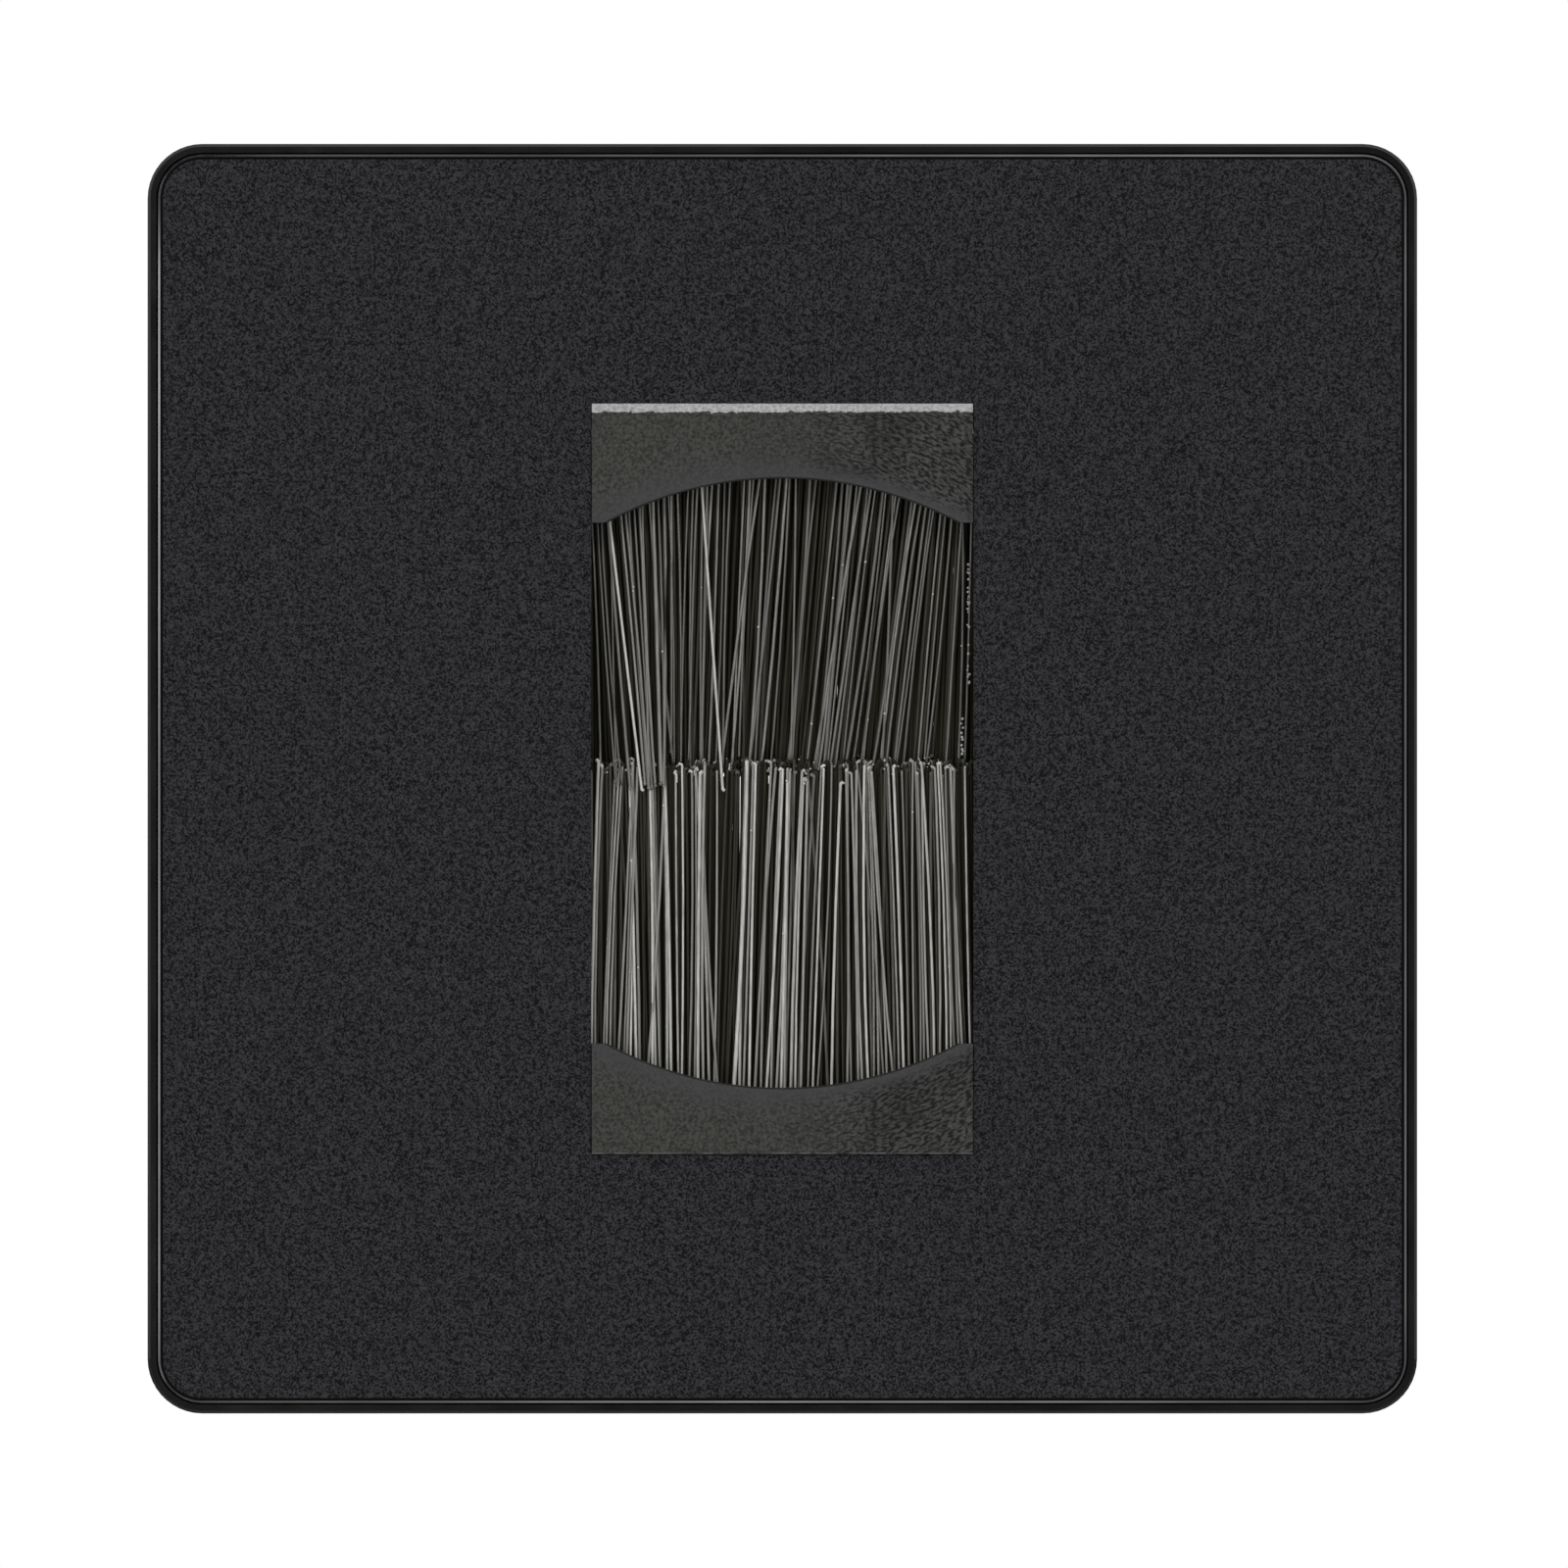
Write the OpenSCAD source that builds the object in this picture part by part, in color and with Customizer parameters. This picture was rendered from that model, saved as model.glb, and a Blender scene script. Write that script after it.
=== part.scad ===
// Single wall plate with a brush module that lets cables pass through it.
// The plate stands upright: +Z is up, +X is to the right and the front faces -Y.
// The origin is the centre of the wall surface, midway between the two fixing screws.

/* [Cover plate] */
// Distance from a fixing screw to the plate's edge
edge_margin = 12.85; // [11:0.05:16]
// Radius of the rim's outer corners
corner_r = 3.7; // [2.4:0.1:6]
// Thickness of the cover sheet
cover_t = 1.2; // [0.8:0.1:2]
// Bevel on the front edge of the cover sheet
cover_bevel = 0.2; // [0.1:0.05:0.4]
// Width of the fine groove inside the bevel
groove_w = 0.14; // [0.08:0.02:0.3]
// Depth of the fine groove
groove_depth = 0.1; // [0.04:0.01:0.2]
// Width of the window
window_w = 25.9; // [22:0.1:32]
// Height of the window
window_h = 50.9; // [44:0.1:58]

/* [Carrier frame] */
// Width of the rim that shows round the cover
rim_w = 0.6; // [0.4:0.05:1.2]
// Gap between the rim and the cover sheet
rim_gap = 0.13; // [0.08:0.01:0.3]
// How far the cover stands in front of the rim
cover_proud = 0.25; // [0:0.05:0.6]
// Bevel on the front edge of the rim
rim_bevel = 0.2; // [0.1:0.05:0.35]
// Thickness of the outer wall behind the cover
wall_t = 1.6; // [1.2:0.1:2.5]
// Thickness of the floor that carries the cover
floor_t = 1.6; // [1.2:0.1:2.4]
// Gap between a screw head and the floor
head_clear = 1.85; // [1:0.05:2]
// Gap between the module's flange and the floor
flange_clear = 2; // [0.5:0.1:4]
// Corner radius of the opening in the floor
floor_open_r = 2; // [1:0.1:4]
// Thickness of the adhesive film under the cover
film_t = 0.15; // [0.1:0.05:0.5]
// Distance of the film from the edges of its seat
film_margin = 1; // [0.5:0.1:1.5]
// Width of a snap finger
finger_w = 6; // [4:0.5:9]
// Thickness of a snap finger
finger_t = 1.2; // [0.8:0.1:1.5]
// Gap between a snap finger and the wall surface
finger_lift = 0.2; // [0.1:0.05:0.3]
// Height of the bead on a snap finger
bead_h = 0.5; // [0.3:0.05:0.55]
// Distance of the snap fingers from the middle of each side
finger_pitch = 19; // [14:0.5:26]
// Thickness of the gussets along the outer wall
gusset_t = 1; // [0.6:0.1:1.6]
// Height of the gussets
gusset_h = 1.8; // [1:0.1:1.9]
// Gussets along each side
gusset_count = 8; // [4:1:9]
// Width of the prising slot in the bottom edge
pry_w = 7; // [5:0.5:10]
// Depth of the prising slot
pry_depth = 1.2; // [0.8:0.1:1.6]

/* [Fixing yoke] */
// Distance between the fixing screws
fixing_pitch = 60.3; // [59.8:0.1:64]
// Distance from a fixing screw to the yoke's edge
yoke_margin = 6.85; // [6.2:0.05:8]
// Corner radius of the yoke
yoke_r = 2.5; // [1:0.1:5]
// Thickness of the yoke
yoke_t = 2.4; // [2.2:0.1:3.2]
// Depth of the pockets in the back of the yoke
pocket_depth = 0.9; // [0.4:0.1:1.2]
// Width of the ribs left round the pockets
yoke_rib = 2; // [1.5:0.1:3]
// Width of the screw slots
slot_w = 4.2; // [3.8:0.1:4.6]
// Length of the screw slots
slot_run = 7; // [5:0.5:8]
// Radius of the solid boss round a screw slot
boss_r = 5.2; // [4.8:0.1:5.6]
// Gap between the yoke and the snap fingers
finger_gap = 0.2; // [0.1:0.05:0.3]
// Thickness of the ledge in front of each snap notch
ledge_t = 0.96; // [0.6:0.02:1]
// Gap all round the bead in its notch
notch_gap = 0.1; // [0.05:0.05:0.2]

/* [Brush module] */
// Gap between the module's face and the window
face_gap = 0.05; // [0.05:0.05:0.3]
// How far the module's face stands in front of the cover
face_proud = 0.25; // [0.1:0.05:1]
// Height of the bevel on the upper edge of the face
face_bevel_h = 0.6; // [0.3:0.05:0.9]
// Depth of the bevel on the upper edge of the face
face_bevel_d = 0.2; // [0.1:0.05:0.9]
// Flange of the module in front of the yoke
flange_t = 1.6; // [1.4:0.1:2]
// How far the flange reaches past the body
flange_lap = 1.5; // [1:0.1:2.2]
// How far the side walls stand hidden outside the window
side_hide = 0.75; // [0.5:0.05:1.5]
// Space between the brush channels and the ends of the body
end_space = 0.8; // [0.4:0.05:2]
// Wall of the module's body
body_wall = 1.5; // [1.2:0.1:2]
// Radius of the body's corners
body_r = 0.8; // [0.4:0.1:1.2]
// How far the body reaches behind the wall surface
body_back = 4; // [3.2:0.1:12]
// Gap between the body and the yoke
body_gap = 0.15; // [0.1:0.05:0.3]
// Height of the face above and below the opening's shoulders
band_h = 7.8; // [6.5:0.1:9.5]
// Width of each shoulder of the opening
shoulder_w = 1.05; // [0.5:0.05:3]
// Rise of the arches
arch_rise = 3; // [1.5:0.1:3.6]
// Height of the opening's centre above the plate's centre
opening_z = -0.3; // [-0.4:0.1:0.4]
// Lip between the opening and the brush channels
lip_h = 0.75; // [0.5:0.05:0.9]
// Thickness of the ribs behind the brush channels
stop_rib_t = 1.2; // [0.8:0.1:2]

/* [Brushes] */
// Thickness of a brush channel, front to back
channel_w = 3; // [2.8:0.1:3.4]
// Height of a brush channel
channel_h = 3.5; // [3.2:0.1:4.2]
// Sheet thickness of a brush channel
channel_t = 0.4; // [0.3:0.05:0.45]
// Gap between the filaments and the back of the face
face_relief = 0.1; // [0.05:0.05:0.2]
// Gap between the filaments and the channel
channel_fit = 0.02; // [0.01:0.01:0.05]
// Diameter of the core wire
core_d = 0.9; // [0.7:0.05:1]
// Gap round the core wire
core_fit = 0.05; // [0.02:0.01:0.1]
// Gap at each end of a channel
channel_gap = 0.2; // [0.1:0.05:0.4]
// Distance of the filaments from each end of their channel
bundle_inset = 0.2; // [0:0.05:0.5]
// Thickness of a filament
filament_d = 0.26; // [0.2:0.01:0.28]
// Distance between filaments in one layer
filament_pitch = 0.7; // [0.65:0.01:1.5]
// Height at which the two rows of tips meet
meet_z = 0.8; // [-1:0.1:2]
// How far the tips of the two rows overlap
tip_overlap = 0.6; // [0:0.1:1.2]
// Difference between the longest and the shortest filament
ragged = 0.9; // [0:0.1:1.2]
// Distance of the innermost tips from the middle of the brush
tip_set = 0.2; // [0.2:0.01:0.26]
// How far the outer tips spread front and back
tip_flare = 0.13; // [0.12:0.01:0.2]
// Sideways stray of the roots
root_stray = 0.08; // [0:0.01:0.1]
// Sideways stray of the tips
tip_stray = 0.1; // [0:0.01:0.14]
// Sideways drift of the upper tips
upper_drift = -0.3; // [-0.8:0.1:0.4]
// How far the upper tips draw together on each side
upper_gather = 0.7; // [0:0.1:1]
// Sideways drift of the lower tips
lower_drift = 0.1; // [-0.2:0.1:0.2]
// How far the lower tips draw together on each side
lower_gather = 0.2; // [0:0.1:1]

/* [Brush retainer] */
// Thickness of the retainer
retainer_t = 1.8; // [1.4:0.1:2.2]
// Gap between the retainer and the body
retainer_gap = 0.1; // [0.05:0.05:0.2]
// Width of the retainer's side rails
rail_w = 1.5; // [1.2:0.1:1.8]
// Height of the lips in front of the retainer
retainer_lip = 0.3; // [0.2:0.05:0.4]
// Gap between a lip and its channel
lip_gap = 0.1; // [0.05:0.05:0.2]
// Height of the snap lugs
lug_h = 0.6; // [0.4:0.05:0.8]
// Width of the snap lugs
lug_w = 5; // [4:0.5:7]
// Length of the snap lugs
lug_run = 1.6; // [1.2:0.1:1.8]
// Length of the flat top of a snap lug
lug_land = 0.3; // [0.2:0.05:0.5]
// Distance of the snap lugs from the middle
lug_pitch = 8; // [6:0.5:9]

/* [Screws] */
// Diameter of the screw thread
screw_d = 3.5; // [3.3:0.1:3.6]
// Diameter of the neck under the head
neck_d = 3; // [2.7:0.1:3.2]
// Diameter of the screw head
head_d = 6.6; // [6:0.1:7]
// Gap between the head and its countersink
head_gap = 0.02; // [0:0.01:0.2]
// Depth of the head below the front of the yoke
head_sink = 0.1; // [0:0.05:0.2]
// Length of the screw behind the wall surface
screw_reach = 22.6; // [12:0.2:45]
// Chamfer on the end of the screw
screw_chamfer = 0.6; // [0.3:0.1:1]
// Width of the cross in the screw head
recess_w = 0.8; // [0.6:0.1:1]
// Span of the cross in the screw head
recess_span = 3.4; // [2.6:0.1:4]
// Depth of the cross in the screw head
recess_depth = 1; // [0.6:0.1:1.1]

/* [Hidden] */
$fn = 72;
// Small overrun that keeps cuts clean
over = 1;
// How deep one form reaches into another that it is moulded with
bite = 0.2;
// Gap between the wall surface and the start of the screw thread
thread_start = 0.05;
// Layers of filaments in each leg of a brush
leg_layers = 2;
// Quarters of a pitch by which the four layers are set off sideways
stagger = [0, 2, 1, 3];

// Depths in front of the wall surface
seat_front = yoke_t + floor_t;
cover_back = seat_front + film_t;
cover_front = cover_back + cover_t;
rim_front = cover_front - cover_proud;
flange_front = yoke_t + flange_t;
face_front = cover_front + face_proud;
brush_depth = flange_front - channel_w / 2;
cavity_front = flange_front - channel_t + face_relief;
retainer_front = flange_front - channel_w;
retainer_back = retainer_front - retainer_t;
notch_front = yoke_t - ledge_t;

// Opening and body of the module
cavity_w = window_w + 2 * side_hide;
shoulder_h = window_h - 2 * band_h;
arch_w = window_w - 2 * shoulder_w;
arch_r = (arch_w * arch_w / 4 + arch_rise * arch_rise) / (2 * arch_rise);
peak = shoulder_h / 2 + arch_rise;
mouth = peak + lip_h;
crown = mouth + channel_h;
cavity_h = 2 * (crown + abs(opening_z) + end_space);
body_w = cavity_w + 2 * body_wall;
body_h = cavity_h + 2 * body_wall;
flange_w = body_w + 2 * flange_lap;
flange_h = body_h + 2 * flange_lap;
face_w = window_w - 2 * face_gap;
face_h = window_h - 2 * face_gap;

// Yoke, carrier and cover
yoke_side = fixing_pitch + 2 * yoke_margin;
yoke_open_w = body_w + 2 * body_gap;
yoke_open_h = body_h + 2 * body_gap;
finger_inner = yoke_side / 2 + finger_gap;
notch_w = finger_w + 2 * notch_gap;
notch_depth = bead_h - finger_gap + notch_gap;
plate_side = fixing_pitch + 2 * edge_margin;
recess_side = plate_side - 2 * rim_w;
inner_side = plate_side - 2 * wall_t;
inner_r = corner_r - rim_w;
cover_side = recess_side - 2 * rim_gap;
cover_r = inner_r - rim_gap;
floor_open_w = fixing_pitch + head_d + 2 * head_clear;
floor_open_h = flange_h + 2 * flange_clear;

// Brushes
channel_len = cavity_w - 2 * channel_gap;
core_up = channel_h - channel_w / 2;
bundle_len = channel_len - 2 * bundle_inset;
bundle_r = channel_w / 2 - channel_t - channel_fit;
bundle_hole_r = core_d / 2 + core_fit;
leg_t = bundle_r - bundle_hole_r;
root_reach = bundle_r - leg_t / (2 * leg_layers);
upper_len = opening_z + mouth - meet_z + tip_overlap / 2;
lower_len = mouth - opening_z + meet_z + tip_overlap / 2;
row_len = bundle_len - filament_d - 2 * root_stray - filament_pitch * 3 / 4;
row_count = floor(row_len / filament_pitch) + 1;

// Colours
matt_black = [0.17, 0.17, 0.18];
gloss_black = [0.1, 0.1, 0.11];
olive_black = [0.24, 0.24, 0.23];
bristle_grey = [0.36, 0.35, 0.32];
dark_plastic = [0.14, 0.14, 0.15];
bare_steel = [0.7, 0.7, 0.7];
film_white = [0.82, 0.82, 0.8];

// Raises a flat outline, drawn as seen from the front, between two depths in front of the wall surface
module from_wall(back, front) {
    translate([0, -back, 0]) rotate([90, 0, 0]) linear_extrude(front - back) children();
}

// Raises a flat outline, drawn in depth and height, along X
module along_x(length) {
    translate([-length / 2, 0, 0]) rotate([90, 0, 90]) linear_extrude(length) children();
}

// Puts its children at both ends of a span along X
module both_ends(reach) {
    for (side = [-1, 1]) translate([side * reach, 0, 0]) children();
}

// Turns its children upside down where way is negative
module flip(way) {
    mirror([0, 0, way < 0 ? 1 : 0]) children();
}

// Repeats its children on the four sides of the plate, drawn for the top side
module four_sides() {
    for (turn = [0:90:270]) rotate([0, turn, 0]) children();
}

// Flat rectangle with round corners
module rounded(w, h, r) {
    square([w - 2 * r, h], center = true);
    square([w, h - 2 * r], center = true);
    for (x = [-1, 1], y = [-1, 1]) translate([x * (w / 2 - r), y * (h / 2 - r)]) circle(r);
}

// Square block with round upright corners and a bevel all round its front edge
module bevelled_square(side, r, back, front, bevel) {
    slope = [[-side / 2, 0], [side / 2, 0], [side / 2 - bevel, bevel], [bevel - side / 2, bevel]];
    from_wall(back, front - bevel) rounded(side, side, r);
    translate([0, bevel - front, 0]) rotate([90, 0, 0]) {
        for (turn = [0, 90]) rotate(turn) translate([0, side / 2 - r, 0]) rotate([90, 0, 0])
            linear_extrude(side - 2 * r) polygon(slope);
        for (x = [-1, 1], y = [-1, 1]) translate([x * (side / 2 - r), y * (side / 2 - r), 0])
            cylinder(bevel, r, r - bevel);
    }
}

// Cover sheet with its window
module cover_plate() {
    groove_side = cover_side - 2 * cover_bevel;
    groove_r = cover_r - cover_bevel;
    color(matt_black) difference() {
        bevelled_square(cover_side, cover_r, cover_back, cover_front, cover_bevel);
        from_wall(cover_back - over, cover_front + over) square([window_w, window_h], center = true);
        from_wall(cover_front - groove_depth, cover_front + over) difference() {
            rounded(groove_side, groove_side, groove_r);
            rounded(groove_side - 2 * groove_w, groove_side - 2 * groove_w, groove_r - groove_w);
        }
    }
}

// Adhesive film between the carrier's floor and the cover
module bond_film() {
    outer = cover_side - 2 * film_margin;
    color(film_white) from_wall(seat_front, cover_back) difference() {
        rounded(outer, outer, cover_r);
        rounded(floor_open_w + 2 * film_margin, floor_open_h + 2 * film_margin, floor_open_r);
    }
}

// Snap finger with the bead that catches behind the yoke's ledge, drawn for the top side
module snap_finger() {
    along_x(finger_w) {
        translate([-yoke_t - bite, finger_inner]) square([yoke_t + bite - finger_lift, finger_t]);
        translate([-finger_lift, finger_inner])
            polygon([[0, bite], [0, 0], [-bead_h, -bead_h], [-2 * bead_h, 0], [-2 * bead_h, bite]]);
    }
}

// Gusset between the outer wall and the floor, drawn for the top side
module gusset() {
    leg = inner_side / 2 - finger_inner - finger_t - finger_gap;
    along_x(gusset_t) translate([-yoke_t, inner_side / 2])
        polygon([[-bite, bite], [-bite, -leg], [0, -leg], [gusset_h, 0], [gusset_h, bite]]);
}

// Carrier frame: rim, seat for the cover, snap fingers and gussets
module carrier_frame() {
    gusset_step = inner_side / (gusset_count + 1);
    color(gloss_black) {
        difference() {
            bevelled_square(plate_side, corner_r, 0, rim_front, rim_bevel);
            from_wall(seat_front, rim_front + over) rounded(recess_side, recess_side, inner_r);
            from_wall(-over, yoke_t) rounded(inner_side, inner_side, inner_r);
            from_wall(-over, rim_front) rounded(floor_open_w, floor_open_h, floor_open_r);
            translate([-pry_w / 2, -pry_depth, -plate_side / 2 - over])
                cube([pry_w, pry_depth + over, wall_t + 2 * over]);
        }
        four_sides() {
            both_ends(finger_pitch) snap_finger();
            for (i = [1:gusset_count]) translate([i * gusset_step - inner_side / 2, 0, 0]) gusset();
        }
    }
}

// Screw slot with its countersink
module screw_slot() {
    run = slot_run - slot_w;
    sink_r = head_d / 2 + head_sink + head_gap;
    from_wall(-over, yoke_t + over) {
        square([slot_w, run], center = true);
        for (end = [-1, 1]) translate([0, end * run / 2]) circle(d = slot_w);
    }
    translate([0, -yoke_t, 0]) rotate([-90, 0, 0]) cylinder(sink_r, sink_r, 0);
}

// Yoke that is screwed to the wall box
module fixing_yoke() {
    field = yoke_side - 2 * yoke_rib;
    color(dark_plastic) difference() {
        from_wall(0, yoke_t) rounded(yoke_side, yoke_side, yoke_r);
        from_wall(-over, yoke_t + over) square([yoke_open_w, yoke_open_h], center = true);
        from_wall(-over, pocket_depth) difference() {
            rounded(field, field, floor_open_r);
            square([yoke_open_w + 2 * yoke_rib, yoke_open_h + 2 * yoke_rib], center = true);
            for (x = [-1, 1]) translate([x * fixing_pitch / 2, 0]) circle(boss_r);
            for (z = [-1, 0, 1]) translate([0, z * finger_pitch]) square([field, yoke_rib], center = true);
            for (x = [-1, 1]) translate([x * finger_pitch, 0]) square([yoke_rib, field], center = true);
        }
        both_ends(fixing_pitch / 2) screw_slot();
        four_sides() both_ends(finger_pitch)
            translate([-notch_w / 2, -notch_front, yoke_side / 2 - notch_depth])
                cube([notch_w, notch_front + over, notch_depth + over]);
    }
}

// Outline of the opening: a full-width band with an arch above and below
module opening_outline() {
    translate([0, opening_z]) {
        square([cavity_w, shoulder_h], center = true);
        for (way = [0, 180]) rotate(way) intersection() {
            translate([0, peak - arch_r]) circle(arch_r, $fn = 180);
            translate([-arch_w / 2, 0]) square([arch_w, peak + over]);
        }
    }
}

// Cutter for the bevel on the upper edge of the face
module face_bevel_cut() {
    slope = face_bevel_h / face_bevel_d;
    along_x(face_w + 2 * over) translate([-face_front, face_h / 2])
        polygon([[-over, -face_bevel_h - over * slope], [face_bevel_d + over / slope, over], [-over, over]]);
}

// Snap lug with a sloped back, drawn on the top side of the body
module snap_lug(start) {
    along_x(lug_w) polygon([[start, -bite], [start, lug_h], [start + lug_land, lug_h], [start + lug_run, 0],
        [start + lug_run, -bite]]);
}

// Lugs behind the yoke and lugs behind the retainer, on one end of the body
module end_lugs() {
    both_ends(lug_pitch) {
        translate([0, 0, body_h / 2]) snap_lug(body_gap);
        translate([0, 0, cavity_h / 2]) mirror([0, 0, 1]) snap_lug(retainer_gap - retainer_back);
    }
}

// Ribs that stop one channel from moving towards the end of the body
module stop_ribs(foot) {
    for (x = [-1, 0, 1]) translate([x * lug_pitch - stop_rib_t / 2, -cavity_front - bite, foot])
        cube([stop_rib_t, cavity_front - retainer_front + bite, cavity_h / 2 - foot + bite]);
}

// Module housing with the arched bezel
module module_housing() {
    color(olive_black) {
        difference() {
            union() {
                from_wall(yoke_t, flange_front) rounded(flange_w, flange_h, body_r);
                from_wall(-body_back, yoke_t) rounded(body_w, body_h, body_r);
                from_wall(yoke_t, face_front) square([face_w, face_h], center = true);
            }
            from_wall(-body_back - over, face_front + over) opening_outline();
            from_wall(-body_back - over, cavity_front) square([cavity_w, cavity_h], center = true);
            for (way = [-1, 1]) from_wall(retainer_front, flange_front)
                translate([0, opening_z + way * (mouth + crown) / 2])
                    square([cavity_w, channel_h], center = true);
            face_bevel_cut();
        }
        for (way = [-1, 1]) flip(way) {
            end_lugs();
            stop_ribs(crown + way * opening_z);
        }
    }
}

// Frame that keeps the channels in the housing
module brush_retainer() {
    outer_w = cavity_w - 2 * retainer_gap;
    outer_h = cavity_h - 2 * retainer_gap;
    open_w = outer_w - 2 * rail_w;
    color(dark_plastic) {
        from_wall(retainer_back, retainer_front) difference() {
            square([outer_w, outer_h], center = true);
            translate([0, opening_z]) square([open_w, 2 * peak], center = true);
        }
        for (way = [-1, 1]) from_wall(retainer_front - bite, retainer_front + retainer_lip)
            translate([0, opening_z + way * (peak + (lip_h - lip_gap) / 2)])
                square([open_w, lip_h - lip_gap], center = true);
    }
}

// Puts a brush, drawn hanging from its mouth at the origin, at the top or the bottom of the opening
module brush_place(way) {
    translate([0, -brush_depth, opening_z + way * mouth]) flip(way) children();
}

// Hollow of a folded strip: straight sides below and a round back round the core
module folded_outline(r, bottom) {
    translate([0, core_up]) circle(r);
    translate([-r, bottom]) square([2 * r, core_up - bottom]);
}

// Folded channel that clamps the filaments round the core wire
module channel() {
    color(bare_steel) along_x(channel_len) difference() {
        folded_outline(channel_w / 2, 0);
        folded_outline(channel_w / 2 - channel_t, -over);
    }
}

// Wire that the filaments are folded round
module core_wire() {
    color(bare_steel) translate([-channel_len / 2, 0, core_up]) rotate([0, 90, 0])
        cylinder(channel_len, d = core_d);
}

// Straight filament between two points
module filament(from, to) {
    along = to - from;
    translate(from) rotate([0, acos(along.z / norm(along)), atan2(along.y, along.x)])
        cylinder(norm(along), d = filament_d, $fn = 6);
}

// Depth of a layer's roots: the front leg's layers come first, outermost before innermost
function root_y(layer) =
    (layer < leg_layers ? -1 : 1) * (root_reach - leg_t / leg_layers * (layer % leg_layers));

// Depth of the tips over roots at depth y: all tips lie in front of the brush's middle where side is -1
// and behind it where side is 1
function tip_y(y, side) = side * (y * side > 0 ? abs(y) + tip_flare : tip_set + root_reach - abs(y));

// Rows of filaments folded over the core wire and fused where the channel clamps them
module bristles(length, side, drift, gather, seed) {
    count = 2 * leg_layers * row_count;
    cut = rands(-ragged / 2, ragged / 2, count, seed);
    root_off = rands(-root_stray, root_stray, count, seed + 1);
    tip_off = rands(-tip_stray, tip_stray, count, seed + 2);
    color(bristle_grey) {
        along_x(bundle_len) difference() {
            folded_outline(bundle_r, 0);
            folded_outline(bundle_hole_r, -over);
        }
        for (layer = [0:2 * leg_layers - 1], i = [0:row_count - 1]) {
            n = layer * row_count + i;
            x = filament_pitch * (i - (row_count - 1) / 2 + (stagger[layer] - 1.5) / 4);
            y = root_y(layer);
            shift = drift - gather * 2 * x / bundle_len;
            filament([x + root_off[n], y, bite], [x + shift + tip_off[n], tip_y(y, side), cut[n] - length]);
        }
    }
}

module upper_channel() brush_place(1) channel();
module lower_channel() brush_place(-1) channel();
module upper_core_wire() brush_place(1) core_wire();
module lower_core_wire() brush_place(-1) core_wire();
module upper_bristles() brush_place(1) bristles(upper_len, 1, upper_drift, upper_gather, 7);
module lower_bristles() brush_place(-1) bristles(lower_len, -1, lower_drift, lower_gather, 21);

// Countersunk fixing screw, its head just below the front of the yoke
module fixing_screw() {
    head_top = yoke_t - head_sink;
    cone = (head_d - neck_d) / 2;
    thread = head_top + thread_start;
    end = head_top + screw_reach;
    color(bare_steel) translate([0, -head_top, 0]) rotate([-90, 0, 0]) difference() {
        rotate_extrude() polygon([[0, 0], [head_d / 2, 0], [neck_d / 2, cone], [neck_d / 2, thread],
            [screw_d / 2, thread], [screw_d / 2, end - screw_chamfer], [screw_d / 2 - screw_chamfer, end],
            [0, end]]);
        for (turn = [0, 90]) rotate(turn) translate([-recess_span / 2, -recess_w / 2, -over])
            cube([recess_span, recess_w, recess_depth + over]);
    }
}

module left_fixing_screw() translate([-fixing_pitch / 2, 0, 0]) fixing_screw();
module right_fixing_screw() translate([fixing_pitch / 2, 0, 0]) fixing_screw();

cover_plate();
bond_film();
carrier_frame();
fixing_yoke();
module_housing();
brush_retainer();
upper_channel();
lower_channel();
upper_core_wire();
lower_core_wire();
upper_bristles();
lower_bristles();
left_fixing_screw();
right_fixing_screw();
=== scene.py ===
import math
import random
from collections import namedtuple

import bmesh
import bpy
from mathutils import Matrix, Vector


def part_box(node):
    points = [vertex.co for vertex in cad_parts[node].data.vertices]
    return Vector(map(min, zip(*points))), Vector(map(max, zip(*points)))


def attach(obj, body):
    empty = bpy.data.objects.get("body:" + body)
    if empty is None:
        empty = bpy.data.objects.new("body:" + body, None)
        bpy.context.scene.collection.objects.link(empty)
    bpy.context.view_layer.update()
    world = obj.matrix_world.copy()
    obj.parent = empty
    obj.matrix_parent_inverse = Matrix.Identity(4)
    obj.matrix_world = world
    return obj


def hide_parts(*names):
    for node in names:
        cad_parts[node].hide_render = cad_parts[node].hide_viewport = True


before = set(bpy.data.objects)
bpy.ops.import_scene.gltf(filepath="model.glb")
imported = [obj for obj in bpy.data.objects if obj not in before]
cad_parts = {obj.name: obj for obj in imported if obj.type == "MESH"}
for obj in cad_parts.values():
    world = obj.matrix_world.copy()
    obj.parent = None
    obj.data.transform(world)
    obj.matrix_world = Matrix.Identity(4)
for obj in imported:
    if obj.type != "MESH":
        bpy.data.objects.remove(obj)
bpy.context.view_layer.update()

MM = 0.001

# Photograph's framing, in millimetres: across the frame, the plate's place in it, and the rim's front
FRAME_WIDTH = 106.2
AIM_X = 0.113
AIM_Z = -0.358
CAMERA_DISTANCE = 1200
RIM_FRONT = 5.1
SENSOR = 36

# Sockets of a Mix node that mixes colours
MIX_FACTOR = 0
MIX_FIRST = 6
MIX_SECOND = 7
MIX_RESULT = 2

# Cover, in millimetres, as in the part: corner radius, width of the bevel, and inner side of the groove
COVER_R = 2.97
BEVEL_W = 0.2
GROOVE_IN = 0.34

# How the wear with its painted highlight and the painted shade of the groove end, in millimetres: where
# the wear starts, and both soft edges
WORN_LIT_IN = 0.05
WORN_LIT_SOFT = 0.03
GROOVE_SOFT = 0.02
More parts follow.
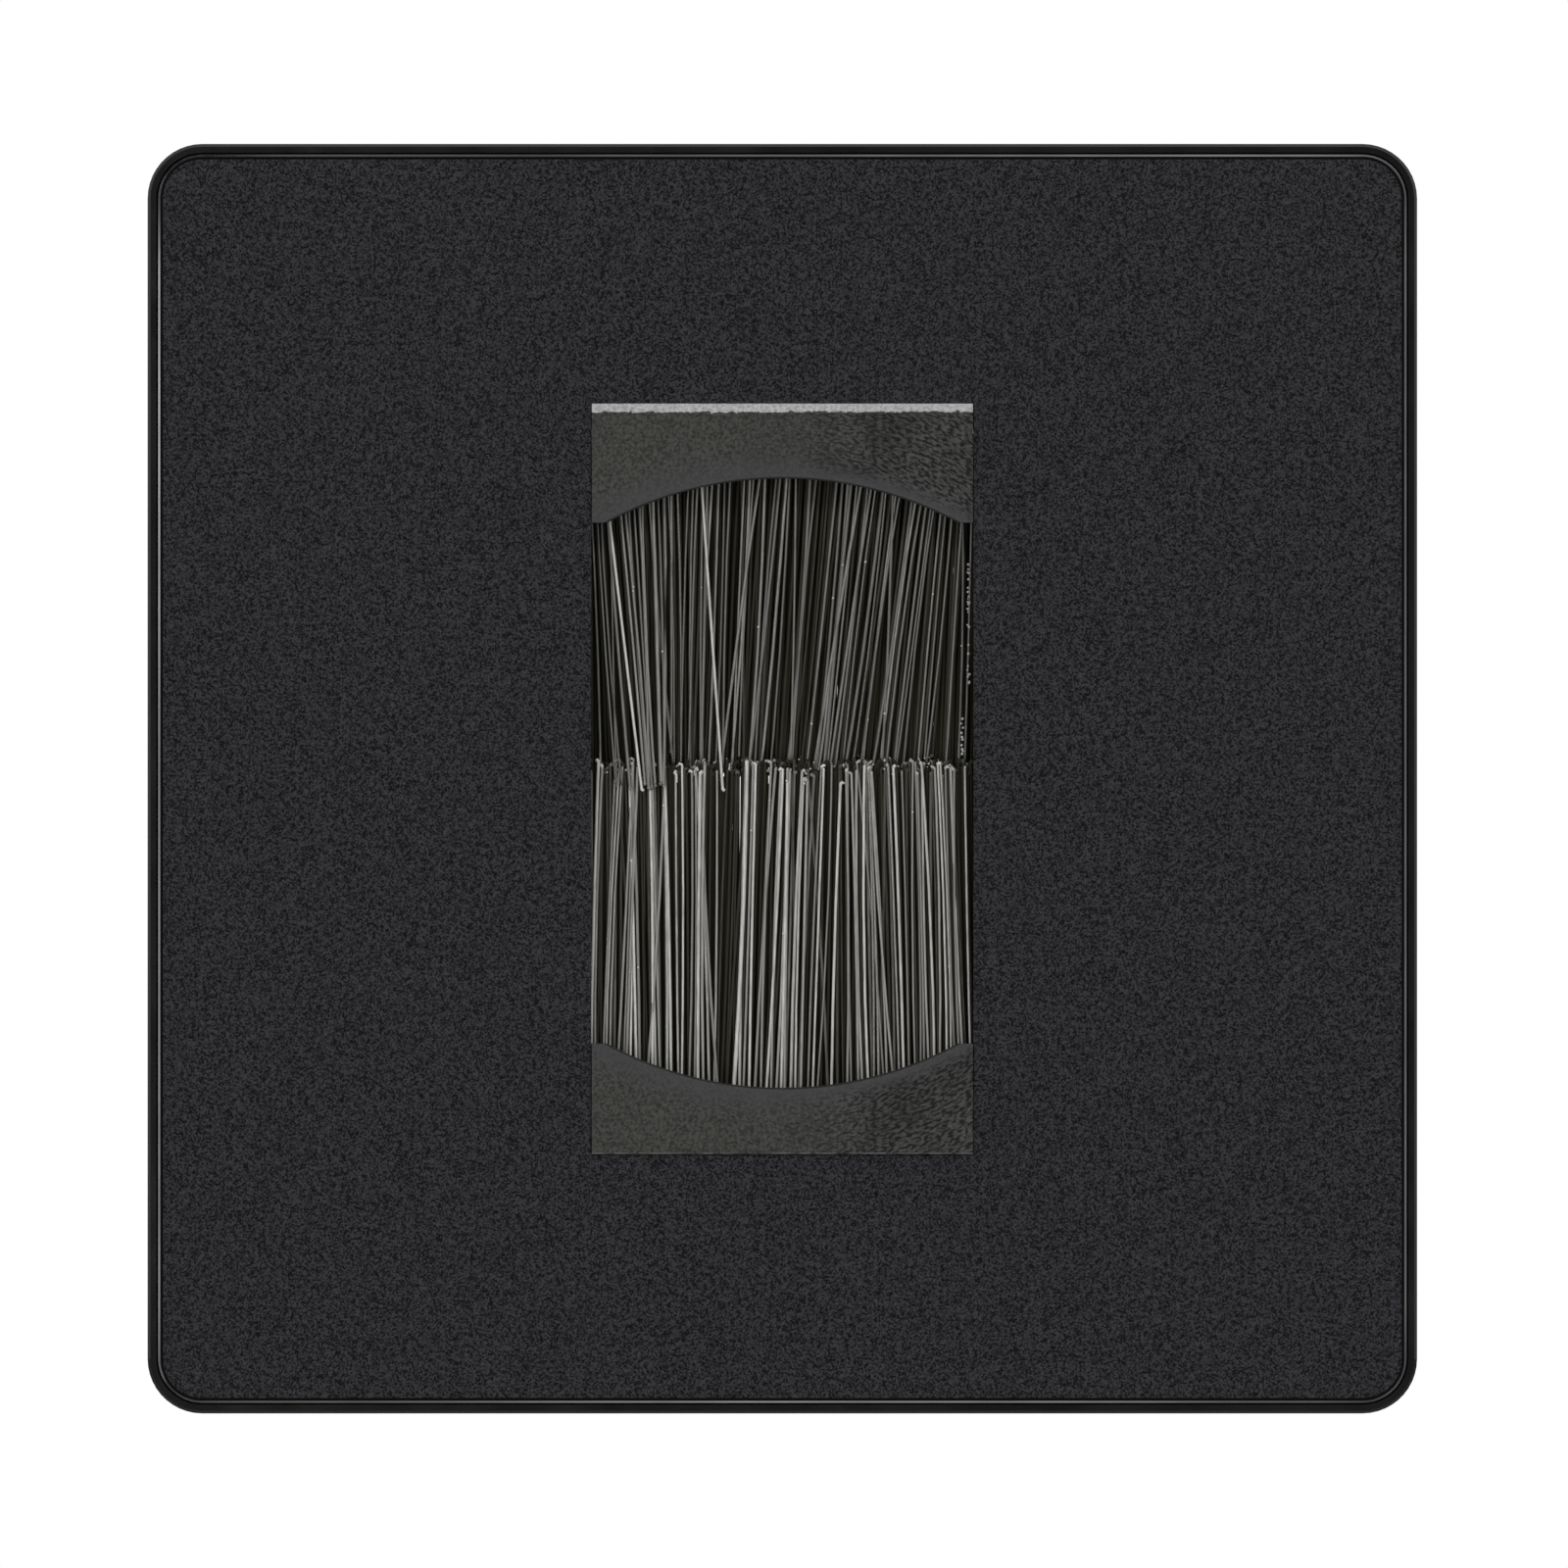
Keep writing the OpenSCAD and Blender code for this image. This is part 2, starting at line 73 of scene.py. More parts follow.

# Wear of the bevel, paled further as a painted highlight whose level differs by side as the lamps fall:
# a range in millimetres and the levels at its ends. The top goes by X, the foot by the distance from
# WORN_LIT_MIDDLE, the left side by Z, and the corners by the distance from them
WORN_LIT_TOP = (-18, 36, 0.085, 0.23)
WORN_LIT_RIGHT = 0.165
WORN_LIT_MIDDLE = 3
WORN_LIT_FOOT = (5, 32, 0.34, 0.15)
WORN_LIT_LEFT = (3, 26, 0.31, 0.6)
WORN_LIT_CORNERS = (2.5, 7, 0.5, 1)
WORN_LIT_TOP_LEFT = (3.5, 8.5, 0.2, 1)
CORNER_DEPTH = 5.5

# Millimetres inside the cover's edge where a side's own level starts, and where it holds in full
SIDE_START = 0.6
SIDE_FULL = 0.3

# Module's face, in millimetres, as in the part: its top, the middle of its opening, and the arches
FACE_TOP = 25.4
OPENING_Z = -0.3
ARCH_PEAK = 20.65
ARCH_R = 25.1

# Ranges in millimetres over which the face's patterns end: in depth, behind the face and behind its
# bevel, and below the top of the face, where the leather stops and the painted highlight on the top bevel
# starts. Then how ragged that highlight's lower edge is, and the painted highlight along the foot of the
# face
BEHIND_FACE = (-5.1, -4.9)
BEHIND_BEVEL = (-5.34, -5.3)
LEATHER_TOP = (0.7, 0.6)
BEVEL_HIGHLIGHT_FOOT = (0.84, 0.78)
BEVEL_HIGHLIGHT_RAGGED = 0.5
FOOT_HIGHLIGHT = (0.05, 0.09)

# Leather grain, whose painted highlight and shade grow towards the right as the light rakes there: how far
# it comes in along X, how far that wanders, and how much longer than wide it is
LEATHER_RUN = (-1, 13)
LEATHER_WANDER = 9
LEATHER_STRETCH = 2.2

# Distances from the arches, in millimetres: the shade on their edge, the band of painted sheen, and the
# leather
ARCH_SHADE = (0.05, 0.12)
ARCH_SHEEN_BAND = (0.3, 2.2)
ARCH_LEATHER = (0.3, 1.2)

# Fixing screws, in millimetres: neck, head, thread and point
NECK_R = 1.5
HEAD_FLAT_IN = 0.1
HEAD_EDGE = 0.06
THREAD_R = 1.75
THREAD_ROOT_R = 1.34
THREAD_SUNK_R = 1.29
THREAD_PITCH = 0.6
THREAD_START = 0.05
THREAD_CONE = 0.1
THREAD_FREE = 0.4
THREAD_RUNOUT = 0.6
TOOTH_HEIGHTS = (0.04, 0.27, 0.33, 0.56)
POINT_R = 0.9
POINT_LENGTH = 0.5
TURNED_STEPS = 48
THREAD_STEPS = 24
WELD = 0.001
SHARP_ANGLE = 35

# Cross recess of a screw, in millimetres: across it, width of an arm, depth, and its taper as a share
CROSS_SPAN = 3.4
CROSS_W = 0.8
CROSS_DEPTH = 1
CROSS_TAPER = 0.75

# Filaments, in millimetres: their size, how high over the channel's mouth they turn round the core wire,
# how far from the channel's middle they leave it, and how far inside its ends they stay
FILAMENT_R = 0.125
FILAMENT_SIDES = 6
CORE_UP = 2.0
ROOT_INNER = 0.64
ROOT_OUTER = 0.94
ROOT_STEP = 0.12
END_ROOM = 0.4

# Lean of the filaments along the brush: place from the middle in millimetres, and degrees to the right
UPPER_LEAN = [(-13.3, 1.5), (-12.8, 3.5), (-12.2, 5), (-11.4, 4.9), (-10.3, 3.4), (-8.9, 1.2),
              (-6, -0.8), (-2, -2.8), (1, -4.3), (5, -6.8), (8.5, -7.8), (11.2, -5.5), (13.3, -0.4)]
LOWER_LEAN = [(-13.3, 0.3), (-11, 1.5), (-9, -1.2), (-6, 0), (-4, 1.6), (0, 2.8), (3, 1.5), (6, -1.6),
              (13.3, -2.2)]

# Layers of filaments, front to back: depth of the roots, pitch, sideways offset in pitches,
# and how much of the lean, the tone and the gloss reaches the layer; tone and gloss fall in deeper layers
# as painted shade
Layer = namedtuple("Layer", "root_y pitch offset lean tone gloss")
LAYERS = [Layer(-ROOT_OUTER, 0.35, 0.1, 1, 1, 1), Layer(-ROOT_INNER, 0.5, 0.5, 0.9, 0.25, 0.5),
          Layer(-ROOT_INNER + ROOT_STEP, 0.4, 0.2, 0.7, 0.08, 0.1),
          Layer(ROOT_INNER - ROOT_STEP, 0.3, 0.7, 0.4, 0.02, 0),
          Layer(ROOT_INNER, 0.22, 0.3, 0.2, 0.02, 0), Layer(ROOT_OUTER, 0.3, 0.8, 0.5, 0.5, 1)]
LAST = len(LAYERS) - 1

# Places in LAYERS of the front ones, of those with full filaments, and of those with the dull copy of the
# finish, which is painted shade
FRONT_RANKS = range(2)
FULL_RANKS = range(3, LAST)
SHADED_RANKS = range(1, LAST)

# Rings of a filament: turns round the core wire in degrees, places along the run as shares of it and how
# far the last lies from the cut, and the cut end, whose rings have their own shares of the radius
CORE_TURNS = (90, 25)
RUN_SHARES = (0.3, 0.62, 0.9)
BEFORE_CUT = 0.13
RINGS = 10
TIP_RINGS = 3
BURRED_END = (1.15, 1.3, 0.7)
PLAIN_END = (1, 0.9, 0.5)

# Hook of a cut end: the share of it at the ring before last, and how far both last rings drop and rise
HOOK_SHARE = 0.6
HOOK_DROP = 0.08
END_DROP = 0.05
END_RISE = 0.1

# Clumps and gaps of a layer: more values than its length takes, their pitch in millimetres, how a clump
# pulls its filaments in degrees and in millimetres, and which filaments of the front layers are left out
CLUMPS = 40
CLUMP_PITCH = 1.1
CLUMP_LEAN = 1.3
CLUMP_LENGTH = 0.15
GAPS = 60
GAP_PITCH = 0.6
GAP_SHARE = 0.13
GAPS_WITHIN = 9

# How single filaments differ: shares of them, ranges in degrees or millimetres, and radii as shares of
# FILAMENT_R
ROOT_STRAY = 0.1
OWN_LEAN = 0.9
ASTRAY_SHARE = 0.13
ASTRAY_LEAN = (1.5, 4.5)
SHORT_SHARE = 0.12
SHORT_BY = (0.2, 0.9)
OWN_BOW = (0.2, 0.1)
FULL_RADIUS = 1.15
OWN_RADIUS = (0.6, 0.95)
THICK_SHARE = 0.03
THICK_RADIUS = 1.35
CURLED_SHARE = 0.6
CURLED_HOOK = (0.08, 0.3)
PLAIN_HOOK = (0.02, 0.08)
HOOK_DEPTH = (-0.22, 0.1)
HOOK_LIFT = (-1.5, 1.5)

# Where the tips lie, in millimetres: past the roots' ends, and in depth from front to back
TIP_PAST = 0.05
TIP_NEAR = 0.2
TIP_SPREAD = 0.75
TIP_STRAY = 0.05

# Filaments that hang in front of the other brush: how much longer they are, and the depth of their
# tips. Then the strays: the depth of their roots and tips, and their size
FRONT_LONGER = 1.2
FRONT_OWN = (-0.3, 0.15)
FRONT_TIP_Y = -1.2
STRAY_ROOT_Y = -ROOT_OUTER - 0.05
STRAY_TIP_Y = -1.35
STRAY_RADIUS = 0.8
STRAY_HOOK = (0.15, -0.1, 0.3)

# Lint, in millimetres: the share of curled ends that have a crumb, how far lint strays, and its sizes
CRUMB_SHARE = 0.55
CRUMB_STRAY = 0.12
CRUMB_SIZE = (0.05, 0.1)
SPECK_SIZE = (0.05, 0.09)
FLECK_Y = -ROOT_OUTER - 0.2
FLECK_STRAY = 0.07
FLECK_SIZE = (0.05, 0.11)
FLECK_PALENESS = (0.4, 1)

# Studio, in metres: half sides and places of the floor and of the card. Then the strength of the white
# surroundings, as light and as seen
FLOOR_HALF = 4.8
FLOOR_Z = -0.3
CARD_HALF = 1.6
CARD_PLACE = (0, -2.2, 1.3)
WORLD_LIGHT = 0.25
WORLD_SEEN = 1.0


def named_material(name, colour, roughness, metallic=0.0, specular=0.5):
    """A new node material with its plain values set on the shader's own sockets."""
    material = bpy.data.materials.new(name)
    material.use_nodes = True
    shader = material.node_tree.nodes["Principled BSDF"]
    shader.inputs["Base Color"].default_value = (*colour, 1)
    shader.inputs["Roughness"].default_value = roughness
    shader.inputs["Metallic"].default_value = metallic
    shader.inputs["Specular IOR Level"].default_value = specular
    return material, material.node_tree, shader


def node(tree, kind, **values):
    """A new shader node with its own properties set."""
    made = tree.nodes.new(kind)
    for key, value in values.items():
        setattr(made, key, value)
    return made


def link(tree, source, target):
    """Joins an output to an input."""
    tree.links.new(source, target)


def feed(tree, value, target):
    """Gives an input a link, a colour or a number."""
    if isinstance(value, bpy.types.NodeSocket):
        link(tree, value, target)
    elif isinstance(value, tuple):
        target.default_value = (*value, 1)
    else:
        target.default_value = value


def object_place(tree, scale=(1, 1, 1)):
    """Object coordinates in metres through a Mapping node."""
    place = node(tree, "ShaderNodeTexCoord")
    mapping = node(tree, "ShaderNodeMapping")
    mapping.inputs["Scale"].default_value = scale
    link(tree, place.outputs["Object"], mapping.inputs["Vector"])
    return mapping.outputs["Vector"]


def separate(tree, vector):
    """X, Y and Z of a vector."""
    made = node(tree, "ShaderNodeSeparateXYZ")
    link(tree, vector, made.inputs["Vector"])
    return made.outputs


def noise(tree, vector, scale, detail=2.0, roughness=0.5, distortion=0.0):
    """Noise round 0.5, with its scale in patterns to the metre."""
    made = node(tree, "ShaderNodeTexNoise")
    made.inputs["Scale"].default_value = scale
    made.inputs["Detail"].default_value = detail
    made.inputs["Roughness"].default_value = roughness
    made.inputs["Distortion"].default_value = distortion
    link(tree, vector, made.inputs["Vector"])
    return made.outputs["Fac"]


def spread(tree, value, low, high, to_low=0.0, to_high=1.0, smooth=False):
    """Maps a value from one range to another, held at the ends."""
    made = node(tree, "ShaderNodeMapRange")
    made.interpolation_type = "SMOOTHSTEP" if smooth else "LINEAR"
    made.inputs["From Min"].default_value = low
    made.inputs["From Max"].default_value = high
    made.inputs["To Min"].default_value = to_low
    made.inputs["To Max"].default_value = to_high
    link(tree, value, made.inputs["Value"])
    return made.outputs["Result"]


def spread_mm(tree, distance, low, high, to_low=0.0, to_high=1.0, smooth=False):
    """Spread over a distance in metres, with its range given in millimetres."""
    return spread(tree, distance, low * MM, high * MM, to_low, to_high, smooth)


def spread_between(tree, share, start, end):
    """Goes from one value to another as share goes from 0 to 1."""
    made = node(tree, "ShaderNodeMapRange")
    feed(tree, start, made.inputs["To Min"])
    feed(tree, end, made.inputs["To Max"])
    link(tree, share, made.inputs["Value"])
    return made.outputs["Result"]


def blend_colours(tree, factor, first, second):
    """Mixes two colours, each a tuple or a socket."""
    made = node(tree, "ShaderNodeMix", data_type="RGBA")
    feed(tree, first, made.inputs[MIX_FIRST])
    feed(tree, second, made.inputs[MIX_SECOND])
    link(tree, factor, made.inputs[MIX_FACTOR])
    return made.outputs[MIX_RESULT]


def combine(tree, operation, first, second=0):
    """A Math node on sockets or numbers."""
    made = node(tree, "ShaderNodeMath", operation=operation)
    feed(tree, first, made.inputs[0])
    feed(tree, second, made.inputs[1])
    return made.outputs["Value"]


def times(tree, first, *others):
    """Product of sockets or numbers."""
    for other in others:
        first = combine(tree, "MULTIPLY", first, other)
    return first


def vector_math(tree, operation, vector, other=(0, 0, 0)):
    """A Vector Math node on a socket and a fixed vector, which gives a number or a vector."""
    made = node(tree, "ShaderNodeVectorMath", operation=operation)
    link(tree, vector, made.inputs[0])
    made.inputs[1].default_value = other
    return made.outputs["Value" if operation in ("LENGTH", "DISTANCE") else "Vector"]


def bump(tree, height, strength, distance, under=None):
    """A normal roughened by height, on top of another one if given."""
    made = node(tree, "ShaderNodeBump")
    made.inputs["Strength"].default_value = strength
    made.inputs["Distance"].default_value = distance
    link(tree, height, made.inputs["Height"])
    if under is not None:
        link(tree, under, made.inputs["Normal"])
    return made.outputs["Normal"]


def outline_distance(tree, place, half_side, corner_r):
    """How far a point lies outside a square with round corners in the X-Z plane, in metres."""
    size = vector_math(tree, "ABSOLUTE", place)
    inner = vector_math(tree, "SUBTRACT", size, (half_side - corner_r, 1, half_side - corner_r))
    clear = vector_math(tree, "MAXIMUM", inner)
    return combine(tree, "SUBTRACT", vector_math(tree, "LENGTH", clear), corner_r)


def bevel_wear_and_highlight(tree, place, high, outside):
    """How much of the wear and its painted highlight shows: only on the bevel, in patches, and less at the
    corners.
    """
    start = WORN_LIT_IN - BEVEL_W
    bevel = spread_mm(tree, outside, start, start + WORN_LIT_SOFT)
    patchy = spread(tree, noise(tree, place, scale=180, detail=3), 0.25, 0.6, 0.65, 1.0)
    corner = (high.x, CORNER_DEPTH * MM, high.z)
    from_corner = vector_math(tree, "DISTANCE", vector_math(tree, "ABSOLUTE", place), corner)
    top_left = (-high.x, -CORNER_DEPTH * MM, high.z)
    from_top_left = vector_math(tree, "DISTANCE", place, top_left)
    corners = spread_mm(tree, from_corner, *WORN_LIT_CORNERS)
    corners = times(tree, corners, spread_mm(tree, from_top_left, *WORN_LIT_TOP_LEFT))
    return times(tree, times(tree, bevel, patchy), corners)


def wear_and_highlight_level(tree, x, z, high):
    """How pale the wear and its painted highlight are on each side of the cover, set by how the lamps fall
    on that side.
    """
    level = spread_mm(tree, x, *WORN_LIT_TOP)
    at_right = spread(tree, x, high.x - SIDE_START * MM, high.x - SIDE_FULL * MM)
    level = spread_between(tree, at_right, level, WORN_LIT_RIGHT)
    at_foot = spread(tree, z, SIDE_FULL * MM - high.z, SIDE_START * MM - high.z, 1, 0)
    from_middle = combine(tree, "ABSOLUTE", combine(tree, "SUBTRACT", x, WORN_LIT_MIDDLE * MM))
    level = spread_between(tree, at_foot, level, spread_mm(tree, from_middle, *WORN_LIT_FOOT))
    at_left = spread(tree, x, SIDE_FULL * MM - high.x, SIDE_START * MM - high.x, 1, 0)
    return spread_between(tree, at_left, level, spread_mm(tree, z, *WORN_LIT_LEFT))


def powder_coat():
    """Matt black powder coat with a fine speckle, worn along its bevel with a painted highlight, and
    painted shade in the groove.
    """
    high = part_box("cover_plate")[1]
    matt, polished = 0.72, 0.45
    material, tree, shader = named_material("powder_coat", (0.017, 0.017, 0.018), matt, specular=0.1)
    place = object_place(tree)
    x, _, z = separate(tree, place)

    fine = noise(tree, place, scale=8500, detail=2, roughness=0.6)
    clumps = noise(tree, place, scale=2600, detail=2)
    grain = combine(tree, "ADD", times(tree, fine, 0.8), times(tree, clumps, 0.2))
    speck = spread(tree, grain, 0.42, 0.6)
    body = blend_colours(tree, speck, (0.001, 0.001, 0.0012), (0.039, 0.039, 0.0437))

    outside = outline_distance(tree, place, high.x, COVER_R * MM)
    groove_out = WORN_LIT_IN - BEVEL_W
    # The groove is painted nearly black: painted shade where the real recess falls into shadow.
    groove_shade = times(tree, spread_mm(tree, outside, -GROOVE_IN, GROOVE_SOFT - GROOVE_IN),
                   spread_mm(tree, outside, groove_out, groove_out - GROOVE_SOFT))
    body = blend_colours(tree, groove_shade, body, (0.001, 0.001, 0.001))

    # Pale bevel: a worn bare edge, with its paleness per side and at the corners a painted highlight.
    wear_and_highlight = bevel_wear_and_highlight(tree, place, high, outside)
    worn_and_lit = blend_colours(tree, wear_and_highlight_level(tree, x, z, high), (0.0, 0.0, 0.0), (1.0, 1.0, 1.02))
    link(tree, blend_colours(tree, wear_and_highlight, body, worn_and_lit), shader.inputs["Base Color"])
    link(tree, spread(tree, wear_and_highlight, 0, 1, matt, polished), shader.inputs["Roughness"])
    link(tree, bump(tree, grain, strength=0.5, distance=0.03 * MM), shader.inputs["Normal"])
    return material


def gloss_rim():
    """Glossy black moulding with faint flow marks."""
    material, tree, shader = named_material("gloss_rim", (0.005, 0.005, 0.0052), 0.22, specular=0.4)
    place = object_place(tree)
    smears = noise(tree, place, scale=320, detail=3)
    link(tree, spread(tree, smears, 0.3, 0.7, 0.2, 0.27), shader.inputs["Roughness"])
    fine = noise(tree, place, scale=2500, detail=1)
    link(tree, bump(tree, fine, strength=0.12, distance=0.01 * MM), shader.inputs["Normal"])
    return material


def arch_distance(tree, place):
    """How far a point of the face lies from the nearer arch, in metres."""
    lifted = vector_math(tree, "SUBTRACT", place, (0, 0, OPENING_Z * MM))
    folded = vector_math(tree, "ABSOLUTE", lifted)
    from_centre = vector_math(tree, "SUBTRACT", folded, (0, 0, (ARCH_PEAK - ARCH_R) * MM))
    flat = vector_math(tree, "MULTIPLY", from_centre, (1, 0, 1))
    return combine(tree, "SUBTRACT", vector_math(tree, "LENGTH", flat), ARCH_R * MM)


def leather_grain(tree, x, edge):
    """Noise drawn out along the arches, whose low values are the short creases of a leather grain."""
    along = node(tree, "ShaderNodeCombineXYZ")
    link(tree, x, along.inputs["X"])
    link(tree, times(tree, edge, LEATHER_STRETCH), along.inputs["Z"])
    return noise(tree, along.outputs[0], scale=2500, detail=2, distortion=0.15)


def leather_reach(tree, place, x, z, edge, in_front):
    """Where the leather shows with its painted highlight and shade: more and more towards the right, where
    the lamps rake across it, and not by the arches or on the bevel.
    """
    wander = noise(tree, place, scale=130, detail=2)
    reach = combine(tree, "ADD", x, times(tree, wander, LEATHER_WANDER * MM))
    creased = times(tree, spread_mm(tree, reach, *LEATHER_RUN, smooth=True), in_front)
    creased = times(tree, creased, spread_mm(tree, edge, *ARCH_LEATHER))
    below_bevel = spread_mm(tree, z, FACE_TOP - LEATHER_TOP[0], FACE_TOP - LEATHER_TOP[1], 1, 0)
    return times(tree, creased, below_bevel)


def bevel_highlight(tree, place, y, z):
    """Where the bevel along the top of the face carries a painted highlight of the lamp above, with a
    ragged lower edge.
    """
    ragged = times(tree, noise(tree, place, scale=2600, detail=2), BEVEL_HIGHLIGHT_RAGGED * MM)
    level = combine(tree, "SUBTRACT", z, ragged)
    lit_bevel = spread_mm(tree, level, FACE_TOP - BEVEL_HIGHLIGHT_FOOT[0], FACE_TOP - BEVEL_HIGHLIGHT_FOOT[1])
    return times(tree, lit_bevel, spread_mm(tree, y, *BEHIND_BEVEL, 1, 0))


def module_moulding():
    """Olive black moulding: matt on the left, leathery creases towards the right with painted highlight
    and shade, painted sheen by the arches, and a polished top bevel with a painted highlight.
    """
    material, tree, shader = named_material("module_moulding", (0.045, 0.045, 0.042), 0.5, specular=0.15)
    place = object_place(tree)
    x, y, z = separate(tree, place)
    edge = arch_distance(tree, place)
    in_front = spread_mm(tree, y, *BEHIND_FACE, 1, 0)

    fine = noise(tree, place, scale=4600, detail=2, roughness=0.65)
    dark, pale = (0.018, 0.018, 0.0155), (0.058, 0.058, 0.053)
    body = blend_colours(tree, spread(tree, fine, 0.36, 0.64), dark, pale)
    # A paler bluish band along the arches: painted sheen.
    arch_sheen = times(tree, spread_mm(tree, edge, *ARCH_SHEEN_BAND, 1, 0), in_front)
    body = blend_colours(tree, times(tree, arch_sheen, 0.7), body, (0.048, 0.048, 0.052))

    creased = leather_reach(tree, place, x, z, edge, in_front)
    clouds = times(tree, spread(tree, noise(tree, place, scale=260, detail=2), 0.42, 0.62), creased)
    body = blend_colours(tree, times(tree, clouds, 0.7), body, (0.012, 0.012, 0.012))
    grain = leather_grain(tree, x, edge)
    # Crests of the grain are painted pale as a painted highlight, and its creases dark as painted shade.
    crown_highlight = times(tree, spread(tree, grain, 0.5, 0.62), creased)
    body = blend_colours(tree, times(tree, crown_highlight, 0.36), body, (0.085, 0.085, 0.081))
    crease_shade = times(tree, spread(tree, grain, 0.42, 0.5, 1, 0), creased)
    body = blend_colours(tree, times(tree, crease_shade, 0.98), body, (0.004, 0.004, 0.004))

    shade = times(tree, spread_mm(tree, edge, *ARCH_SHADE, 0.85, 0), in_front)
    body = blend_colours(tree, shade, body, (0.003, 0.003, 0.003))
    # A thin pale broken line along the bottom edge of the face: a painted highlight of that edge.
    foot_highlight = spread_mm(tree, z, FOOT_HIGHLIGHT[0] - FACE_TOP, FOOT_HIGHLIGHT[1] - FACE_TOP, 1, 0)
    foot_highlight = times(tree, foot_highlight, spread(tree, noise(tree, place, scale=900, detail=1), 0.45, 0.55), in_front)
    body = blend_colours(tree, foot_highlight, body, (0.11, 0.11, 0.105))

    # The top bevel is painted pale and mottled: a painted highlight of the lamp above.
    lit_bevel = bevel_highlight(tree, place, y, z)
    dark, pale = (0.235, 0.235, 0.235), (0.41, 0.41, 0.406)
    mottle = blend_colours(tree, spread(tree, fine, 0.35, 0.65), dark, pale)
    link(tree, blend_colours(tree, lit_bevel, body, mottle), shader.inputs["Base Color"])
    matt = spread(tree, fine, 0.3, 0.7, 0.45, 0.62)
    polished = 0.22
    link(tree, spread_between(tree, lit_bevel, matt, polished), shader.inputs["Roughness"])
    gentle = bump(tree, fine, strength=0.35, distance=0.02 * MM)
    domes = times(tree, spread(tree, grain, 0.38, 0.6, smooth=True), creased)
    domed = bump(tree, domes, strength=0.8, distance=0.04 * MM, under=gentle)
    link(tree, domed, shader.inputs["Normal"])
    return material


def dark_moulding():
    """Plain dark moulding of the hidden parts, lightly spark-eroded."""
    material, tree, shader = named_material("dark_moulding", (0.02, 0.02, 0.021), 0.55)
    place = object_place(tree)
    grain = noise(tree, place, scale=1800, detail=3)
    clouds = noise(tree, place, scale=90, detail=2)
    dark, pale = (0.016, 0.016, 0.017), (0.025, 0.025, 0.026)
    colour = blend_colours(tree, spread(tree, clouds, 0.3, 0.7), dark, pale)
    link(tree, colour, shader.inputs["Base Color"])
    link(tree, spread(tree, grain, 0.3, 0.7, 0.45, 0.62), shader.inputs["Roughness"])
    link(tree, bump(tree, grain, strength=0.3, distance=0.02 * MM), shader.inputs["Normal"])
    return material


def plated_steel(name, colour, roughness, marks_scale):
    """Zinc-plated steel with fine tool marks."""
    material, tree, shader = named_material(name, colour, roughness, metallic=1.0)
    marks = noise(tree, object_place(tree, scale=marks_scale), scale=4000, detail=3)
    clouds = noise(tree, object_place(tree), scale=500, detail=2)
    dull = tuple(value * 0.75 for value in colour)
    cloudy = blend_colours(tree, spread(tree, clouds, 0.3, 0.7), colour, dull)
    link(tree, cloudy, shader.inputs["Base Color"])
    brushed = spread(tree, marks, 0.3, 0.7, roughness - 0.08, roughness + 0.12)
    link(tree, brushed, shader.inputs["Roughness"])
    link(tree, bump(tree, marks, strength=0.2, distance=0.01 * MM), shader.inputs["Normal"])
    return material


def adhesive_film():
    """Pale film with a faint mottle."""
    material, tree, shader = named_material("adhesive_film", (0.6, 0.6, 0.58), 0.6)
    mottle = noise(tree, object_place(tree), scale=700, detail=3)
    colour = blend_colours(tree, spread(tree, mottle, 0.3, 0.7), (0.56, 0.56, 0.54), (0.64, 0.64, 0.62))
    link(tree, colour, shader.inputs["Base Color"])
    return material


def nylon_filament(name, specular, ior):
    """Dark nylon: the fibre attribute holds tone, paleness of the cut end, and gloss."""
    material, tree, shader = named_material(name, (0.03, 0.029, 0.026), 0.4, specular=specular)
    shader.inputs["IOR"].default_value = ior
    fibre = node(tree, "ShaderNodeAttribute", attribute_name="fibre")
    parts = node(tree, "ShaderNodeSeparateColor")
    link(tree, fibre.outputs["Color"], parts.inputs[0])
    tone, tip, gloss = parts.outputs
    drawn = noise(tree, object_place(tree, scale=(1, 1, 0.08)), scale=9000, detail=2)
    tone = times(tree, tone, spread(tree, drawn, 0.3, 0.7, 0.6, 1.4))
    dark_to_grey = blend_colours(tree, tone, (0.0175, 0.0162, 0.0102), (0.52, 0.51, 0.475))
    colour = blend_colours(tree, tip, dark_to_grey, (0.55, 0.545, 0.51))
    link(tree, colour, shader.inputs["Base Color"])
    link(tree, spread(tree, gloss, 0, 1, 0.7, 0.2), shader.inputs["Roughness"])
    return material


def filament_pattern():
    """A straight closed tube with a ring at each whole height, from which every filament starts."""
    shape = bmesh.new()
    bmesh.ops.create_cone(shape, cap_ends=True, cap_tris=False, segments=FILAMENT_SIDES,
                          radius1=1, radius2=1, depth=RINGS - 1)
    bmesh.ops.translate(shape, verts=shape.verts, vec=(0, 0, (RINGS - 1) / 2))
    for height in range(1, RINGS - 1):
        bmesh.ops.bisect_plane(shape, geom=[*shape.verts, *shape.edges, *shape.faces],
                               plane_co=(0, 0, height), plane_no=(0, 0, 1))
    pattern = bpy.data.meshes.new("filament_pattern")
    shape.to_mesh(pattern)
    shape.free()
    return pattern


